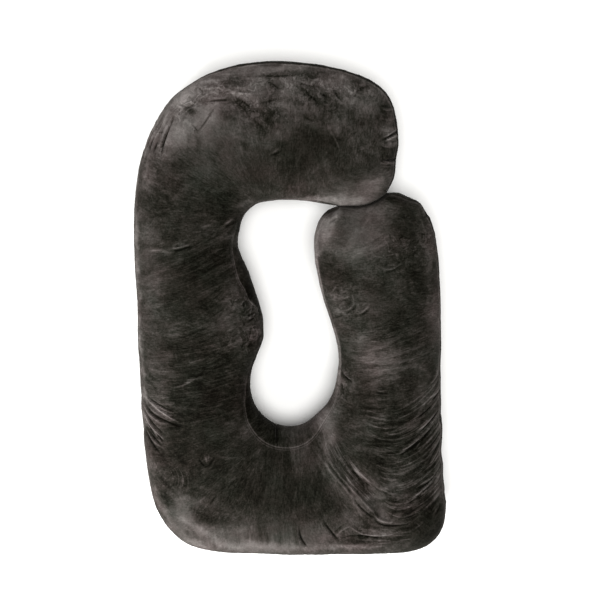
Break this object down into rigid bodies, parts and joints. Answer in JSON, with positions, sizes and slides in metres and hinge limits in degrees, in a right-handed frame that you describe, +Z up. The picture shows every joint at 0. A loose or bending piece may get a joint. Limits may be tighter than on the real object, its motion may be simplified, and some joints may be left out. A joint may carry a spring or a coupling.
{
  "type": "j-shaped pregnancy pillow",
  "caption": "Full-body support pillow in dark crushed plush, a long arm that hooks over and down onto the end of a short arm, lying on its back.",
  "frame": {"origin": "on the surface that the pillow lies on, under the middle of its bounding box", "axes": "+Z up through the pillow's thickness, +Y along its length towards the hooked end, +X towards the short arm"},
  "size_m": [0.8706, 1.3802, 0.1941],
  "materials": {
    "plush": "crushed short-pile plush, dark warm grey, mottled where the pile lies in different directions"
  },
  "bodies": {
    "root": {"pillow": "plush"}
  },
  "joints": []
}
